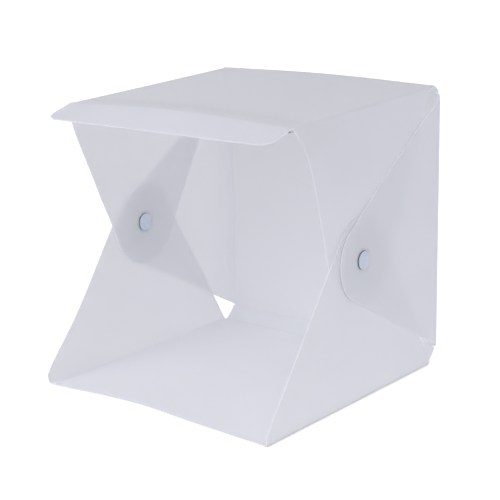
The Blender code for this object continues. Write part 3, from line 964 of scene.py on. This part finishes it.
lamp_shape = bmesh.new()
add_block(lamp_shape, lamp_size, Vector(), 0, lamp_rounding)
face = max(lamp_shape.faces, key=lambda face: face.calc_center_median().z)
bmesh.ops.inset_region(lamp_shape, faces=[face], thickness=window_margin - lamp_rounding)
bmesh.ops.inset_region(lamp_shape, faces=[face], thickness=window_depth, depth=-window_depth)
face.material_index = 1
for sense in (-1, 1):
    add_block(lamp_shape, lamp_end, Vector((sense * lamp_size.x / 2, 0,
                                            (lamp_end.z - lamp_size.z) / 2)), 2)
lamp_mesh = piece_from("lamp_shape", lamp_shape, [housing, phosphor, plated]).data
bpy.data.objects.remove(bpy.data.objects["lamp_shape"])
for number, middle in enumerate(lamp_middles):
    lamp = bpy.data.objects.new("lamp_body_%02d" % (number + 1), lamp_mesh)
    bpy.context.scene.collection.objects.link(lamp)
    place = settle_top(top.matrix @ middle, 0)
    beside = settle_top(top.matrix @ (middle + Vector((lamp_size.x, 0, 0))), 0)
    lean = math.atan2(beside.z - place.z, lamp_size.x)
    turn = Matrix.Rotation(-lean, 4, "Y") @ top.matrix.to_3x3().to_4x4()
    lamp.matrix_world = Matrix.Translation(place) @ turn
    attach(lamp, "top")
    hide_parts("lamp_%02d" % (number + 1))

power_socket = bpy.data.objects["power_socket"]
power_socket.material_slots[0].material = plated


# Camera
#
# The camera stands to the right of the open front and looks slightly down, and is turned a
# little about its own axis, as in the photograph.

camera_place = Vector((0.73591, -0.92823, 0.41795))
camera_azimuth = math.radians(38.22)
camera_elevation = math.radians(14.66)
camera_roll = math.radians(-0.99)
focal_pixels = 1472.36          # for an image 500 pixels wide
image_width = 500
sensor_width = 36

camera = bpy.data.objects.new("camera", bpy.data.cameras.new("camera"))
bpy.context.scene.collection.objects.link(camera)
camera.data.sensor_width = sensor_width
camera.data.lens = focal_pixels * sensor_width / image_width
backward = Vector((math.sin(camera_azimuth) * math.cos(camera_elevation),
                   -math.cos(camera_azimuth) * math.cos(camera_elevation),
                   math.sin(camera_elevation)))
level_right = (-backward).cross(Vector((0, 0, 1))).normalized()
level_up = level_right.cross(-backward)
camera_right = level_right * math.cos(camera_roll) + level_up * math.sin(camera_roll)
camera_up = level_up * math.cos(camera_roll) - level_right * math.sin(camera_roll)
camera_axes = Matrix((camera_right, camera_up, backward)).transposed().to_4x4()
camera.matrix_world = Matrix.Translation(camera_place) @ camera_axes
bpy.context.scene.camera = camera


# Floor and light
#
# A plain white floor under even studio light. The camera sees the floor and the space behind it
# as white, and the tent's own shadow still darkens the floor. A thin contact shadow beside the
# base's right crease is painted into the floor's colour and glow.

floor_size = 12.0
floor_drop = 0.0003             # keeps the floor's face clear of the base's
floor_colour = 0.88
floor_glow = 0.75               # adds up to white with the light that the floor sends back
floor_bounce = 0.16             # the part of its glow that lights the tent, close round it
bounce_from = 0.10              # from the tent's middle to where that part begins to fade
bounce_to = 0.32                # where it is gone
ambient = 0.03                  # even light of the room
overhead = 0.62                 # the bright ceiling, which fades towards the back of the room
contact_reach = 0.006           # how far the painted contact shadow beside a crease on the floor reaches
closed_air = 0.50               # share of open air at which that line is darkest
open_air = 0.85                 # and at which it is gone
contact_dark = 0.68             # 0 leaves it out, 1 takes all light off it
contact_from = 0.105            # across: that painted shadow only shows on the side away from the light
contact_to = 0.113
shadow_grey = 0.4
daylight = (0.965, 0.98, 1.07)
through_bounces = 12            # light passes several layers of the sheet
all_bounces = 24


def on_ray(start, *kinds):
    """1 on a ray of one of these kinds, otherwise 0."""
    seen = start.node("LightPath", {}, {}, kinds[0])
    for kind in kinds[1:]:
        seen = start.math("MAXIMUM", seen, start.node("LightPath", {}, {}, kind))
    return seen


bpy.ops.mesh.primitive_grid_add(x_subdivisions=4, y_subdivisions=4, size=floor_size,
                                location=(0, 0, -floor_drop))
floor = bpy.context.object
floor.name = "floor"
material, start = new_material("floor_white")
seen = on_ray(start, "Is Camera Ray", "Is Glossy Ray")
place = start.node("NewGeometry", {}, {}, "Position")
from_middle = start.node("VectorMath", {"operation": "LENGTH"}, {0: place}, "Value")
bounce = (1 - from_middle.between(bounce_from, bounce_to)) * floor_bounce
# painted contact shadow: where little open air is round it, the floor's glow and colour darken
air = start.node("AmbientOcclusion", {"samples": 4}, {"Distance": contact_reach}, "AO")
across = start.node("SeparateXYZ", {}, {"Vector": place}, "X")
painted_contact_shadow = (1 - air.between(closed_air, open_air)) * across.between(contact_from, contact_to)
glow = seen * (floor_glow * (1 - painted_contact_shadow * contact_dark) - bounce) + bounce
white = rgb(floor_colour, floor_colour, floor_colour)
grey = rgb(shadow_grey, shadow_grey, shadow_grey)
diffuse = start.node("BsdfPrincipled", {}, {
    "Base Color": (painted_contact_shadow * contact_dark).tint(white, grey), "Roughness": 0.7,
    "Specular IOR Level": 0.1, "Emission Color": glow.tint(rgb(0, 0, 0), rgb(1, 1, 1)),
    "Emission Strength": 1.0})
start.node("OutputMaterial", {}, {"Surface": diffuse})
material.cycles.emission_sampling = "NONE"
floor.data.materials.append(material)

world = bpy.data.worlds.new("studio")
bpy.context.scene.world = world
world.use_nodes = True
world.node_tree.nodes.clear()
start = Value(world.node_tree)
shown = on_ray(start, "Is Camera Ray", "Is Glossy Ray", "Is Transmission Ray")
towards = start.node("TexCoord", {}, {}, "Generated")
height = start.node("SeparateXYZ", {}, {"Vector": towards}, "Z")
behind = start.node("SeparateXYZ", {}, {"Vector": towards}, "Y")
room = start.math("MAXIMUM", height, 0) * overhead * (1 - behind) + ambient
strength = shown * (1 - room) + room
colour = shown.tint(rgb(*daylight), rgb(1, 1, 1))
sky = start.node("Background", {}, {"Color": colour, "Strength": strength})
start.node("OutputWorld", {}, {"Surface": sky})
world.cycles.sampling_method = "NONE"


def softbox(name, place, target, size, power):
    """A large soft lamp that faces a point."""
    lamp = bpy.data.lights.new(name, "AREA")
    lamp.shape = "RECTANGLE"
    lamp.size, lamp.size_y = size
    lamp.energy = power
    lamp.color = daylight
    box = bpy.data.objects.new(name, lamp)
    bpy.context.scene.collection.objects.link(box)
    box.location = place
    box.rotation_euler = (Vector(target) - Vector(place)).to_track_quat("-Z", "Y").to_euler()
    box.visible_camera = False


softbox("front_softbox", (-0.20, -1.15, 0.80), (0, -0.05, 0.05), (1.0, 0.8), 4.4)
softbox("right_softbox", (0.90, 0.20, 0.15), (0.1, 0, 0.05), (0.6, 0.25), 1.4)
softbox("left_softbox", (-0.90, 0.05, 0.20), (-0.1, 0, 0.08), (0.6, 0.4), 0.8)

bpy.context.scene.cycles.diffuse_bounces = through_bounces
bpy.context.scene.cycles.max_bounces = all_bounces
bpy.context.scene.view_settings.view_transform = "Standard"
